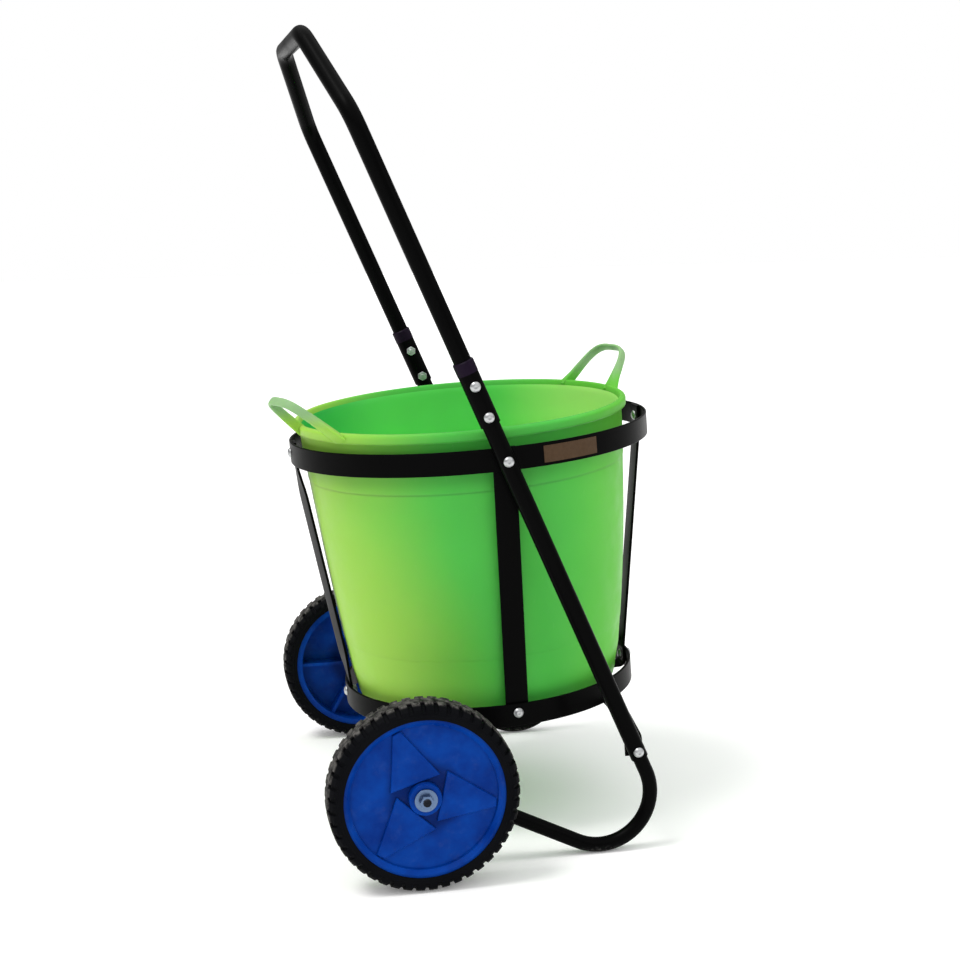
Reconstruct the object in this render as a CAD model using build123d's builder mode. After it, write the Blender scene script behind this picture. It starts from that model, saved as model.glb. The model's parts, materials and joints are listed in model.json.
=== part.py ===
from build123d import *
from math import asin, atan2, cos, degrees, hypot, radians, sin, tan
import os

# Two-wheeled tub trolley: a flexible tub held in a flat-strip basket, carried by a tube frame with a
# pull handle, two bent-tube feet and two spoked-disc wheels. Lengths in mm, angles in degrees.
# +X points forward (away from the handle), +Z up, right is -Y, and the floor is Z = 0.

os.makedirs("parts", exist_ok=True)

# ---- driving dimensions ---------------------------------------------------------------------
AXLE_X = -97.11           # axle line, measured from the middle of the whole trolley
WHEEL_R = 100.0           # outside of the tread
TYRE_W = 42.0
TYRE_SEAT_R = 84.0        # tyre sits on the rim here
TREAD_GROOVES = 46
TREAD_GROOVE_W = 4.0
TREAD_GROOVE_DEPTH = 3.2
TREAD_RIB_W = 12.0        # plain band left round the middle of the tread
WHEEL_Y = 264.0           # wheel mid plane from the trolley's middle plane
SHOULDER_DROP = 5.0       # bevel of the tread's shoulders
SHOULDER_W = 7.5
HUB_R = 17.0
HUB_LENGTH = 40.0
HUB_EDGE = 1.5
RIM_HALF = 18.0           # half width of the moulded rim
RIM_INNER_R = 77.0
RIM_BEVEL = 4.0           # bevel round the mouth of the rim
FACE_RECESS = 7.0         # the face sits this far inside the rim's edge
FACE_T = 4.0
ARM_RAISE = 3.0
ARM_EDGE = 1.2
# corners of one raised arm, as distance and angle from the hub: a swept triangle with its tip cut off
ARM_CORNERS = ((36.0, 48.0), (75.0, -5.0), (76.0, -12.0), (29.0, -65.0))
ARMS = 3
INNER_RIBS = 6
RIB_T = 4.0
RIB_SET_BACK = 6.0        # the ribs stop this far short of the rim's inner edge

AXLE_R = 6.0
AXLE_END_R = 4.0          # turned-down threaded ends of the axle
AXLE_CHAMFER = 0.8
RUNNING_GAP = 0.08        # radial clearance of the wheel on the axle
END_GAP = 0.4             # clearance at each end of the hub
THREAD_GAP = 0.05         # radial clearance of nuts and washers
SPACER_R = 9.5
WASHER_T = 2.5
WASHER_R = 12.0
AXLE_NUT_FLATS_R = 6.5
AXLE_NUT_H = 6.5
AXLE_STANDOUT = 2.0       # threaded end standing out of the nut

LOOP_OD = 16.0            # foot loop tube
MAIN_OD = 19.0            # side tubes and handle tube
SLEEVE_OD = 22.0          # joint sleeves
TUBE_WALL = 1.5
LEAN = 23.2               # side tubes and handle lean back from upright
LOOP_SLOPE = 26.1         # lower run of the foot loop, down from the axle
EYE_THICKNESS = 5.0       # flattened end of the foot loop
EYE_R = 12.0
EYE_LENGTH = 26.0         # axle centre to where the flattening starts to open out
EYE_TAPER = 26.0          # length over which the flat opens into the round tube

HOOP_FORWARD = 103.5      # hoop centre ahead of the axle
HOOP_Z = 434.0
HOOP_R = 206.0
RING_FORWARD = 122.5      # bottom ring centre ahead of the axle
RING_Z = 145.5
RING_R = 169.0
BAND_H = 25.0             # flat strip width
BAND_T = 3.0              # flat strip thickness
BAND_EDGE = 0.8           # its rolled edges are rounded this much
STRAP_LAP = 14.0          # how far a strap runs below the middle of the hoop before it slopes in
STRAP_BEND_R = 6.0
FORE_AFT_BASE = -9.0      # mid thickness of the two base straps, in the basket's own height
CROSS_BASE = -12.0
RING_BOLT_H = 2.5         # ring bolts sit this far above the middle of the ring
FLAT_IN_ROUND = 0.5       # a flat strap inside a round band touches it only at its edges
BAR_W = 20.0              # the bar under the ring is narrower than the bands
BAR_FLAT_HALF = 140.0     # half length of the level part of the bar under the ring
BAR_END_DROP = 17.0       # how far its outer parts slope down before they turn
BAR_BEND_R = 5.0
BAR_TAIL = 9.0            # how far its ends run below the knee bolts
LABEL_FROM = -78.0        # label's start and end round the hoop, from straight ahead
LABEL_TO = -59.0
LABEL_H = 18.0
LABEL_T = 0.6

KNEE_S = -351.0           # distances along the leaning tube, from the hoop bolt
SIDE_TUBE_BOTTOM_S = -360.0
LOOP_TOP_S = -250.0
JOINT_BOLTS_S = (51.0, 86.0)
SIDE_TUBE_TOP_S = 68.0
SLEEVE_S = (42.0, 100.0)
FERRULE_LENGTH = 14.0
FERRULE_OD = SLEEVE_OD + 0.6
FERRULE_CHAMFER = 1.2
TUBE_BUTT_GAP = 1.0       # gap between side tube and handle tube inside the sleeve
HANDLE_BEND_S = 385.0
HANDLE_TOP_S = 477.5
HANDLE_TOP_HALF = 114.0
HANDLE_BEND_R = 40.0

TUB_RIM_R = 193.0
TUB_BASE_R = 150.0
TUB_HEEL_R = 159.5        # the wall leans out more quickly up to here
TUB_HEEL_H = 40.0
TUB_HEIGHT = 331.0
TUB_WALL = 3.0
TUB_LIP_H = 11.0
TUB_LIP_W = 6.0
TUB_SHIFT = -2.0          # tub sits this far back in the basket
TUB_SEAT_GAP = 0.2
TUB_FLOOR_T = 4.0
TUB_BASE_FILLET = 10.0
TUB_LIP_FILLET = 3.0
TUB_LIP_SLOPE = 2.0       # the underside of the lip rises this much inwards to outwards
GRIP_TURN = 22.0          # tub handles are turned this far from the fore-and-aft line
GRIP_HALF = 46.0
GRIP_TOP_HALF = 32.0
GRIP_REACH = 60.0
GRIP_RISE = 44.0          # angle of the tub handles above the rim
GRIP_BEND_R = 18.0
GRIP_SECTION = (7.0, 4.5) # half width and half thickness
WEB_REACH = 18.0          # the webs stand this far out sideways from the handle's feet
WEB_SHORT = 22.0          # and stop this far below the handle's top
WEB_T = 4.0

BOLT_R = 3.0
BOLT_HOLE_R = 3.2
BOLT_HEAD_R = 5.6
BOLT_HEAD_H = 3.2
BOLT_HEAD_TAPER = 24.0
BOLT_STANDOUT = 1.0       # shank standing out of the nut
NUT_FLATS_R = 5.0
NUT_H = 5.0

# ---- derived values -------------------------------------------------------------------------
HOOP_X = AXLE_X + HOOP_FORWARD
RING_X = AXLE_X + RING_FORWARD
TUBE_Y = HOOP_R + MAIN_OD / 2
AXLE_Z = WHEEL_R
BASKET_TILT = degrees(atan2(RING_X - HOOP_X, HOOP_Z - RING_Z))
BASKET_H = hypot(RING_X - HOOP_X, HOOP_Z - RING_Z)
tilt_sin = sin(radians(BASKET_TILT))
tilt_cos = cos(radians(BASKET_TILT))
lean_sin = sin(radians(LEAN))
lean_cos = cos(radians(LEAN))
STRAP_TOP_R = HOOP_R - 1.5 * BAND_T - FLAT_IN_ROUND
STRAP_LOW_R = RING_R - 1.5 * BAND_T - FLAT_IN_ROUND

# basket: origin at the middle of the bottom ring, Z up the basket's own axis
basket = Plane(origin=(RING_X, 0, RING_Z), x_dir=(tilt_cos, 0, tilt_sin), z_dir=(-tilt_sin, 0, tilt_cos))
# leaning plane of the handle: X across the trolley, Y up along the tubes
lean = Plane(origin=(HOOP_X, 0, HOOP_Z), x_dir=(0, 1, 0), z_dir=(lean_cos, 0, lean_sin))
# upright fore-and-aft plane through the right-hand tubes: X forward, Y up
right_side = Plane(origin=(0, -TUBE_Y, 0), x_dir=(1, 0, 0), z_dir=(0, -1, 0))


def along_tube(distance):
    """Forward and upward position of a point on the leaning tubes' axis."""
    return HOOP_X - distance * lean_sin, HOOP_Z + distance * lean_cos


def tube_section(plane, outside):
    """Ring-shaped section of a round tube, ready to extrude or sweep."""
    with BuildSketch(plane) as section:
        Circle(outside / 2)
        Circle(outside / 2 - TUBE_WALL, mode=Mode.SUBTRACT)
    return section.sketch


def straight_tube(y, start, end, outside, inside):
    """Straight piece on the leaning tubes' axis between two distances from the hoop bolt."""
    x, z = along_tube(start)
    plane = Plane(origin=(x, y, z), x_dir=(0, 1, 0), z_dir=(-lean_sin, 0, lean_cos))
    with BuildSketch(plane) as section:
        Circle(outside / 2)
        Circle(inside / 2, mode=Mode.SUBTRACT)
    extrude(section.sketch, amount=end - start)


def side_hole(x, z, radius, y_from, y_to):
    """Round hole parallel to the axle."""
    with BuildSketch(Plane(origin=(x, y_from, z), x_dir=(1, 0, 0), z_dir=(0, 1, 0))) as mouth:
        Circle(radius)
    extrude(mouth.sketch, amount=y_to - y_from, mode=Mode.SUBTRACT)


def bolt(x, y, z, direction, grip):
    """Round-headed bolt: the head stands out along the direction, the shank runs back through the grip."""
    seat = Plane(origin=(x, y, z), z_dir=direction)
    with BuildSketch(seat) as head:
        Circle(BOLT_HEAD_R)
    extrude(head.sketch, amount=BOLT_HEAD_H, taper=BOLT_HEAD_TAPER)
    with BuildSketch(seat) as shank:
        Circle(BOLT_R)
    extrude(shank.sketch, amount=-grip)


def nut(x, y, z, direction):
    """Hexagon nut standing out along the direction from its seat."""
    with BuildSketch(Plane(origin=(x, y, z), z_dir=direction)) as hexagon:
        RegularPolygon(NUT_FLATS_R, 6, major_radius=False)
        Circle(BOLT_R + THREAD_GAP, mode=Mode.SUBTRACT)
    extrude(hexagon.sketch, amount=NUT_H)


def save(piece, name):
    piece.label = name
    export_step(piece, "parts/" + name + ".step")


def save_pair(right_piece, name):
    """Write the right-hand piece and its mirror image on the left."""
    save(right_piece, name + "_right")
    save(right_piece.mirror(Plane.XZ), name + "_left")


# ---- foot loop: flattened eye at the axle, lower run, ground bend, upright end ----------------
run_x = cos(radians(LOOP_SLOPE))
run_z = -sin(radians(LOOP_SLOPE))
knee_x, knee_z = along_tube(KNEE_S)
# corner where the lower run and the leaning tube would meet if the tube were not bent
lean_slope = tan(radians(LEAN))
run_slope = run_z / run_x
corner_x = (knee_x + (knee_z - AXLE_Z + AXLE_X * run_slope) * lean_slope) / (1 + lean_slope * run_slope)
corner_z = AXLE_Z + (corner_x - AXLE_X) * run_slope
back = Vector(-run_x, -run_z)
up = Vector(-lean_sin, lean_cos)
half_corner = radians(back.get_angle(up)) / 2
middle = (back + up).normalized()
loop_bend_r = (LOOP_OD / 2 - corner_z) / (middle.Y / sin(half_corner) - 1)
tube_start = EYE_LENGTH + EYE_TAPER
loop_top = along_tube(LOOP_TOP_S)

with BuildPart() as foot_loop:
    with BuildLine(right_side) as loop_path:
        FilletPolyline(
            (AXLE_X + tube_start * run_x, AXLE_Z + tube_start * run_z),
            (corner_x, corner_z),
            loop_top,
            radius=loop_bend_r,
        )
    loop_start = Plane(origin=loop_path.line @ 0, z_dir=loop_path.line % 0)
    sweep(tube_section(loop_start, LOOP_OD), path=loop_path.line)
    # the flat opens into the round tube
    run_direction = (run_x, 0, run_z)
    flat_end = (AXLE_X + EYE_LENGTH * run_x, -TUBE_Y, AXLE_Z + EYE_LENGTH * run_z)
    with BuildSketch(Plane(origin=flat_end, x_dir=(0, 1, 0), z_dir=run_direction)):
        RectangleRounded(EYE_THICKNESS, 2 * EYE_R, EYE_THICKNESS * 0.45)
    with BuildSketch(Plane(origin=loop_path.line @ 0, x_dir=(0, 1, 0), z_dir=run_direction)):
        Circle(LOOP_OD / 2)
    loft()
    # the flat eye round the axle
    with BuildSketch(right_side.offset(-EYE_THICKNESS / 2)):
        with Locations((AXLE_X, AXLE_Z)):
            Circle(EYE_R)
            with Locations(Location((0, 0), -LOOP_SLOPE)):
                Rectangle(EYE_LENGTH, 2 * EYE_R, align=(Align.MIN, Align.CENTER))
    extrude(amount=EYE_THICKNESS)
    side_hole(AXLE_X, AXLE_Z, AXLE_R + 0.2, -TUBE_Y - LOOP_OD, -TUBE_Y + LOOP_OD)
    side_hole(knee_x, knee_z, BOLT_HOLE_R, -TUBE_Y - LOOP_OD, -TUBE_Y + LOOP_OD)
save_pair(foot_loop.part, "foot_loop")

# ---- side tube, joint sleeve and ferrule ------------------------------------------------------
lower_joint = along_tube(JOINT_BOLTS_S[0])
upper_joint = along_tube(JOINT_BOLTS_S[1])

with BuildPart() as side_tube:
    straight_tube(-TUBE_Y, SIDE_TUBE_BOTTOM_S, SIDE_TUBE_TOP_S, MAIN_OD, MAIN_OD - 2 * TUBE_WALL)
    side_hole(HOOP_X, HOOP_Z, BOLT_HOLE_R, -TUBE_Y - MAIN_OD, -TUBE_Y + MAIN_OD)
    side_hole(*lower_joint, BOLT_HOLE_R, -TUBE_Y - MAIN_OD, -TUBE_Y + MAIN_OD)
    side_hole(knee_x, knee_z, BOLT_HOLE_R, -TUBE_Y - MAIN_OD, -TUBE_Y + MAIN_OD)
save_pair(side_tube.part, "side_tube")

with BuildPart() as joint_sleeve:
    straight_tube(-TUBE_Y, *SLEEVE_S, SLEEVE_OD, MAIN_OD)
    for joint in (lower_joint, upper_joint):
        side_hole(*joint, BOLT_HOLE_R, -TUBE_Y - SLEEVE_OD, -TUBE_Y + SLEEVE_OD)
save_pair(joint_sleeve.part, "joint_sleeve")

with BuildPart() as joint_ferrule:
    straight_tube(-TUBE_Y, SLEEVE_S[1], SLEEVE_S[1] + FERRULE_LENGTH, FERRULE_OD, MAIN_OD)
    ends = joint_ferrule.faces().filter_by(GeomType.PLANE).sort_by(Axis.Z)
    chamfer(ends[-1].edges().sort_by(SortBy.LENGTH)[-1:], FERRULE_CHAMFER)
save_pair(joint_ferrule.part, "joint_ferrule")

# ---- pull handle: one tube bent into a flat-topped U ------------------------------------------
with BuildPart() as handle_tube:
    handle_foot_s = SIDE_TUBE_TOP_S + TUBE_BUTT_GAP
    with BuildLine(lean) as handle_path:
        FilletPolyline(
            (-TUBE_Y, handle_foot_s),
            (-TUBE_Y, HANDLE_BEND_S),
            (-HANDLE_TOP_HALF, HANDLE_TOP_S),
            (HANDLE_TOP_HALF, HANDLE_TOP_S),
            (TUBE_Y, HANDLE_BEND_S),
            (TUBE_Y, handle_foot_s),
            radius=HANDLE_BEND_R,
        )
    handle_start = Plane(origin=handle_path.line @ 0, z_dir=handle_path.line % 0)
    sweep(tube_section(handle_start, MAIN_OD), path=handle_path.line)
    side_hole(*upper_joint, BOLT_HOLE_R, -TUBE_Y - MAIN_OD, TUBE_Y + MAIN_OD)
save(handle_tube.part, "handle_tube")


def radial_hole(height, direction, reach):
    """Bolt hole from the basket's axis out through whatever lies within reach."""
    centre = basket.from_local_coords(Vector(0, 0, height))
    with BuildSketch(Plane(origin=centre, z_dir=direction)) as mouth:
        Circle(BOLT_HOLE_R)
    extrude(mouth.sketch, amount=reach, mode=Mode.SUBTRACT)


# ---- basket: top hoop, bottom ring, two U-shaped straps and the bar under the ring ------------
def band(height, radius, hole_height):
    """Rolled flat-strip ring round the basket's axis, drilled across for its bolts."""
    wall_plane = Plane(origin=basket.origin, x_dir=basket.x_dir, z_dir=(0, -1, 0))
    with BuildSketch(wall_plane) as section:
        with Locations((radius - BAND_T / 2, height)):
            RectangleRounded(BAND_T, BAND_H, BAND_EDGE)
    revolve(section.sketch, axis=Axis(basket.origin, basket.z_dir))
    for direction in four_ways:
        radial_hole(hole_height, direction, radius + BAND_T)


fore = Vector(tilt_cos, 0, tilt_sin)
across = Vector(0, 1, 0)
four_ways = (fore, -fore, across, -across)

with BuildPart() as top_hoop:
    band(BASKET_H, HOOP_R, BASKET_H)
save(top_hoop.part, "top_hoop")

with BuildPart() as bottom_ring:
    band(0, RING_R, RING_BOLT_H)
save(bottom_ring.part, "bottom_ring")


def u_strap(outline_plane, base_height, holes):
    """Flat strip bent down one side of the basket, under the tub and up the other side."""
    top = BASKET_H + BAND_H / 2
    lap = BASKET_H - STRAP_LAP
    with BuildLine(outline_plane) as strap_path:
        FilletPolyline(
            (-STRAP_TOP_R, top),
            (-STRAP_TOP_R, lap),
            (-STRAP_LOW_R, BAND_H / 2),
            (-STRAP_LOW_R, base_height),
            (STRAP_LOW_R, base_height),
            (STRAP_LOW_R, BAND_H / 2),
            (STRAP_TOP_R, lap),
            (STRAP_TOP_R, top),
            radius=STRAP_BEND_R,
        )
    start = strap_path.line @ 0
    with BuildSketch(Plane(origin=start, x_dir=outline_plane.z_dir, z_dir=strap_path.line % 0)) as section:
        RectangleRounded(BAND_H, BAND_T, BAND_EDGE)
    sweep(section.sketch, path=strap_path.line)
    for direction in holes:
        radial_hole(RING_BOLT_H, direction, RING_R)
        radial_hole(BASKET_H, direction, HOOP_R)
    # bolt hole where the two straps cross under the tub
    with BuildSketch(basket.offset(base_height - BAND_T)) as crossing:
        Circle(BOLT_HOLE_R)
    extrude(crossing.sketch, amount=2 * BAND_T, mode=Mode.SUBTRACT)


fore_aft_plane = Plane(origin=basket.origin, x_dir=fore, z_dir=(0, -1, 0))
cross_plane = Plane(origin=basket.origin, x_dir=(0, 1, 0), z_dir=fore)

with BuildPart() as strap_fore_aft:
    u_strap(fore_aft_plane, FORE_AFT_BASE, (fore, -fore))
save(strap_fore_aft.part, "strap_fore_aft")

with BuildPart() as strap_cross:
    u_strap(cross_plane, CROSS_BASE, (across, -across))
save(strap_cross.part, "strap_cross")

# the bar under the ring: its ends turn down and bolt to the side tubes and foot loops at the knee
knee_local = basket.to_local_coords(Vector(knee_x, 0, knee_z))
bar_top = -BAND_H / 2
bar_mid = bar_top - BAND_T / 2
bar_end_y = TUBE_Y - MAIN_OD / 2 - BAND_T / 2
bar_plane = Plane(origin=basket.from_local_coords(Vector(knee_local.X, 0, 0)), x_dir=(0, 1, 0), z_dir=fore)

with BuildPart() as base_bar:
    with BuildLine(bar_plane) as bar_path:
        FilletPolyline(
            (-bar_end_y, knee_local.Z - BAR_TAIL),
            (-bar_end_y, bar_mid - BAR_END_DROP),
            (-BAR_FLAT_HALF, bar_mid),
            (BAR_FLAT_HALF, bar_mid),
            (bar_end_y, bar_mid - BAR_END_DROP),
            (bar_end_y, knee_local.Z - BAR_TAIL),
            radius=BAR_BEND_R,
        )
    with BuildSketch(Plane(origin=bar_path.line @ 0, x_dir=fore, z_dir=bar_path.line % 0)):
        RectangleRounded(BAR_W, BAND_T, BAND_EDGE)
    sweep(path=bar_path.line)
    side_hole(knee_x, knee_z, BOLT_HOLE_R, -TUBE_Y, TUBE_Y)
save(base_bar.part, "base_bar")

# ---- plain label stuck on the hoop ------------------------------------------------------------
with BuildPart() as hoop_label:
    with BuildSketch(basket.offset(BASKET_H - LABEL_H / 2)):
        with BuildLine():
            outer = CenterArc((0, 0), HOOP_R + LABEL_T, LABEL_FROM, LABEL_TO - LABEL_FROM)
            inner = CenterArc((0, 0), HOOP_R, LABEL_FROM, LABEL_TO - LABEL_FROM)
            Line(outer @ 0, inner @ 0)
            Line(outer @ 1, inner @ 1)
        make_face()
    extrude(amount=LABEL_H)
save(hoop_label.part, "hoop_label")

# ---- axle and what is threaded on it ----------------------------------------------------------
hub_outer = WHEEL_Y + HUB_LENGTH / 2
hub_inner = WHEEL_Y - HUB_LENGTH / 2
eye_outer = TUBE_Y + EYE_THICKNESS / 2
washer_inner = hub_outer + END_GAP
nut_seat = washer_inner + WASHER_T
axle_end = nut_seat + AXLE_NUT_H + AXLE_STANDOUT


def axle_plane(y, outward=1):
    return Plane(origin=(AXLE_X, y, AXLE_Z), x_dir=(1, 0, 0), z_dir=(0, outward, 0))


with BuildPart() as axle:
    with BuildSketch(axle_plane(-axle_end)):
        Circle(AXLE_END_R)
    extrude(amount=2 * axle_end)
    with BuildSketch(axle_plane(-washer_inner)):
        Circle(AXLE_R)
    extrude(amount=2 * washer_inner)
    chamfer(axle.faces().sort_by(Axis.Y)[0].edges(), AXLE_CHAMFER)
    chamfer(axle.faces().sort_by(Axis.Y)[-1].edges(), AXLE_CHAMFER)
save(axle.part, "axle")

with BuildPart() as axle_spacers:
    for side in (-1, 1):
        with BuildSketch(axle_plane(side * eye_outer, side)):
            Circle(SPACER_R)
            Circle(AXLE_R + THREAD_GAP, mode=Mode.SUBTRACT)
        extrude(amount=hub_inner - END_GAP - eye_outer)
save(axle_spacers.part, "axle_spacers")

with BuildPart() as axle_washers:
    for side in (-1, 1):
        with BuildSketch(axle_plane(side * washer_inner, side)):
            Circle(WASHER_R)
            Circle(AXLE_END_R + THREAD_GAP, mode=Mode.SUBTRACT)
        extrude(amount=WASHER_T)
save(axle_washers.part, "axle_washers")

with BuildPart() as axle_nuts:
    for side in (-1, 1):
        with BuildSketch(axle_plane(side * nut_seat, side)):
            RegularPolygon(AXLE_NUT_FLATS_R, 6, major_radius=False)
            Circle(AXLE_END_R + THREAD_GAP, mode=Mode.SUBTRACT)
        extrude(amount=AXLE_NUT_H)
save(axle_nuts.part, "axle_nuts")

# ---- wheel: moulded plastic disc with a three-armed relief, ribbed on the inside --------------
face_out = RIM_HALF - FACE_RECESS
face_in = face_out - FACE_T

with BuildPart() as wheel_rim:
    # barrel with flanges that stand beside the tyre's bead, the dished face and the hub in one section
    with BuildSketch(Plane(origin=(AXLE_X, -WHEEL_Y, AXLE_Z), x_dir=(1, 0, 0), z_dir=(0, 0, 1))):
        with Locations(((RIM_INNER_R + TYRE_SEAT_R) / 2, 0)):
            Rectangle(TYRE_SEAT_R - RIM_INNER_R, 2 * RIM_HALF)
        with Locations(((HUB_R + RIM_INNER_R) / 2, -(face_out + face_in) / 2)):
            Rectangle(RIM_INNER_R - HUB_R + 1, FACE_T)
        with Locations(((AXLE_R + RUNNING_GAP + HUB_R) / 2, 0)):
            Rectangle(HUB_R - AXLE_R - RUNNING_GAP, HUB_LENGTH)
    revolve(axis=Axis((AXLE_X, 0, AXLE_Z), (0, 1, 0)))
    # bevel round the mouth of the rim
    mouth = wheel_rim.edges().filter_by(GeomType.CIRCLE).sort_by(Axis.Y)
    mouth = [e for e in mouth if abs(e.radius - RIM_INNER_R) < 0.1 and e.center().Y < -WHEEL_Y - face_out]
    chamfer(mouth, RIM_BEVEL)
    # raised arms round a three-cornered recess at the hub
    with BuildSketch(axle_plane(-WHEEL_Y - face_out, -1)):
        for arm in range(ARMS):
            turn = arm * 360 / ARMS
            corners = [(r * cos(radians(a + turn)), r * sin(radians(a + turn))) for r, a in ARM_CORNERS]
            Polygon(*corners, align=None)
    extrude(amount=ARM_RAISE)
    arm_faces = [f for f in wheel_rim.faces().filter_by(Plane.XZ)
                 if abs(f.center().Y + WHEEL_Y + face_out + ARM_RAISE) < 0.01]
    fillet([e for f in arm_faces for e in f.edges()], ARM_EDGE)
    hub_rim = [e for e in wheel_rim.edges().filter_by(GeomType.CIRCLE) if abs(e.radius - HUB_R) < 0.01
               and e.center().Y < -WHEEL_Y - face_out - ARM_RAISE]
    fillet(hub_rim, HUB_EDGE)
    # ribs across the hollow inner side
    with BuildSketch(axle_plane(-WHEEL_Y - face_in, 1)):
        with PolarLocations((HUB_R + RIM_INNER_R) / 2, INNER_RIBS):
            Rectangle(RIM_INNER_R - HUB_R + 1, RIB_T)
    extrude(amount=face_in + RIM_HALF - RIB_SET_BACK)
save_pair(wheel_rim.part, "wheel_rim")

with BuildPart() as tyre:
    with BuildSketch(Plane(origin=(AXLE_X, -WHEEL_Y, AXLE_Z), x_dir=(1, 0, 0), z_dir=(0, 0, 1))) as section:
        with Locations(((TYRE_SEAT_R + WHEEL_R) / 2, 0)):
            Rectangle(WHEEL_R - TYRE_SEAT_R, TYRE_W)
        chamfer(section.vertices().sort_by(Axis.X)[-2:], length=SHOULDER_DROP, length2=SHOULDER_W)
    revolve(axis=Axis((AXLE_X, 0, AXLE_Z), (0, 1, 0)))
    # tread: grooves across both shoulders, a block at the very bottom
    groove_len = TREAD_GROOVE_DEPTH + 2.0
    for side in (-1, 1):
        with BuildSketch(axle_plane(-WHEEL_Y + side * TREAD_RIB_W / 2, side)):
            with PolarLocations(WHEEL_R - TREAD_GROOVE_DEPTH + groove_len / 2, TREAD_GROOVES,
                                start_angle=90 + side * 90 / TREAD_GROOVES):
                Rectangle(groove_len, TREAD_GROOVE_W)
        extrude(amount=TYRE_W, mode=Mode.SUBTRACT)
save_pair(tyre.part, "tyre")

# ---- tub: thin flexible wall, rolled lip and two moulded loop handles --------------------------
tub_base_h = FORE_AFT_BASE + BAND_T / 2 + TUB_SEAT_GAP
tub_floor = Plane(
    origin=basket.from_local_coords(Vector(TUB_SHIFT, 0, tub_base_h)),
    x_dir=basket.x_dir,
    z_dir=basket.z_dir,
)
tub_wall_plane = Plane(origin=tub_floor.origin, x_dir=tub_floor.x_dir, z_dir=(0, -1, 0))
tub_axis = Axis(tub_floor.origin, tub_floor.z_dir)
neck_r = TUB_RIM_R - TUB_LIP_W
neck_h = TUB_HEIGHT - TUB_LIP_H

with BuildPart() as tub:
    with BuildSketch(tub_wall_plane):
        with BuildLine():
            Polyline(
                (0, 0),
                (TUB_BASE_R, 0),
                (TUB_HEEL_R, TUB_HEEL_H),
                (neck_r, neck_h),
                (TUB_RIM_R, neck_h + TUB_LIP_SLOPE),
                (TUB_RIM_R, TUB_HEIGHT),
                (neck_r - TUB_WALL, TUB_HEIGHT),
                (neck_r - TUB_WALL, neck_h),
                (TUB_HEEL_R - TUB_WALL, TUB_HEEL_H),
                (TUB_BASE_R - TUB_WALL, TUB_FLOOR_T),
                (0, TUB_FLOOR_T),
                close=True,
            )
        make_face()
    revolve(axis=tub_axis)
    circles = tub.edges().filter_by(GeomType.CIRCLE)
    base_edge = [e for e in circles if abs(e.radius - TUB_BASE_R) < 0.1]
    inner_edge = [e for e in circles if abs(e.radius - TUB_BASE_R + TUB_WALL) < 0.1]
    fillet(base_edge, TUB_BASE_FILLET)
    fillet(inner_edge, TUB_BASE_FILLET - TUB_WALL)
    lip_edges = [e for e in tub.edges().filter_by(GeomType.CIRCLE) if abs(e.radius - TUB_RIM_R) < 0.1]
    fillet(lip_edges, TUB_LIP_FILLET)
    # moulded loop handles, each an arch rising outwards from the lip
    foot_r = (TUB_RIM_R - TUB_LIP_W / 2) * cos(asin(GRIP_HALF / TUB_RIM_R))
    for turn in (GRIP_TURN, GRIP_TURN + 180):
        outwards = Vector(cos(radians(turn)), sin(radians(turn)), 0)
        sideways = Vector(-sin(radians(turn)), cos(radians(turn)), 0)
        rise = Vector(outwards.X * cos(radians(GRIP_RISE)), outwards.Y * cos(radians(GRIP_RISE)),
                      sin(radians(GRIP_RISE)))
        foot = outwards * foot_r + Vector(0, 0, TUB_HEIGHT - TUB_LIP_H / 2)
        grip_origin = tub_floor.from_local_coords(foot)
        grip_x = tub_floor.from_local_coords(foot + sideways) - grip_origin
        grip_y = tub_floor.from_local_coords(foot + rise) - grip_origin
        grip_plane = Plane(origin=grip_origin, x_dir=grip_x, z_dir=grip_x.cross(grip_y))
        with BuildLine(grip_plane) as grip_path:
            FilletPolyline(
                (-GRIP_HALF, 0),
                (-GRIP_TOP_HALF, GRIP_REACH),
                (GRIP_TOP_HALF, GRIP_REACH),
                (GRIP_HALF, 0),
                radius=GRIP_BEND_R,
            )
        start = grip_path.line @ 0
        with BuildSketch(Plane(origin=start, x_dir=grip_plane.z_dir, z_dir=grip_path.line % 0)):
            Ellipse(*GRIP_SECTION)
        sweep(path=grip_path.line)
        # webs that stiffen the feet of the handle
        for side in (-1, 1):
            with BuildSketch(grip_plane.offset(-WEB_T / 2)):
                with BuildLine():
                    Polyline(
                        (side * (GRIP_HALF - 1), 2),
                        (side * (GRIP_HALF + WEB_REACH), -4),
                        (side * (GRIP_TOP_HALF + 4), GRIP_REACH - WEB_SHORT),
                        close=True,
                    )
                make_face()
            extrude(amount=WEB_T)
save(tub.part, "tub")

# ---- fasteners --------------------------------------------------------------------------------
tube_outer_y = TUBE_Y + MAIN_OD / 2
strap_inner_y = STRAP_TOP_R - BAND_T / 2

with BuildPart() as hoop_side_bolts:
    side_grip = tube_outer_y - strap_inner_y + NUT_H + BOLT_STANDOUT
    for side in (-1, 1):
        bolt(HOOP_X, side * tube_outer_y, HOOP_Z, (0, side, 0), side_grip)
save(hoop_side_bolts.part, "hoop_side_bolts")

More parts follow.
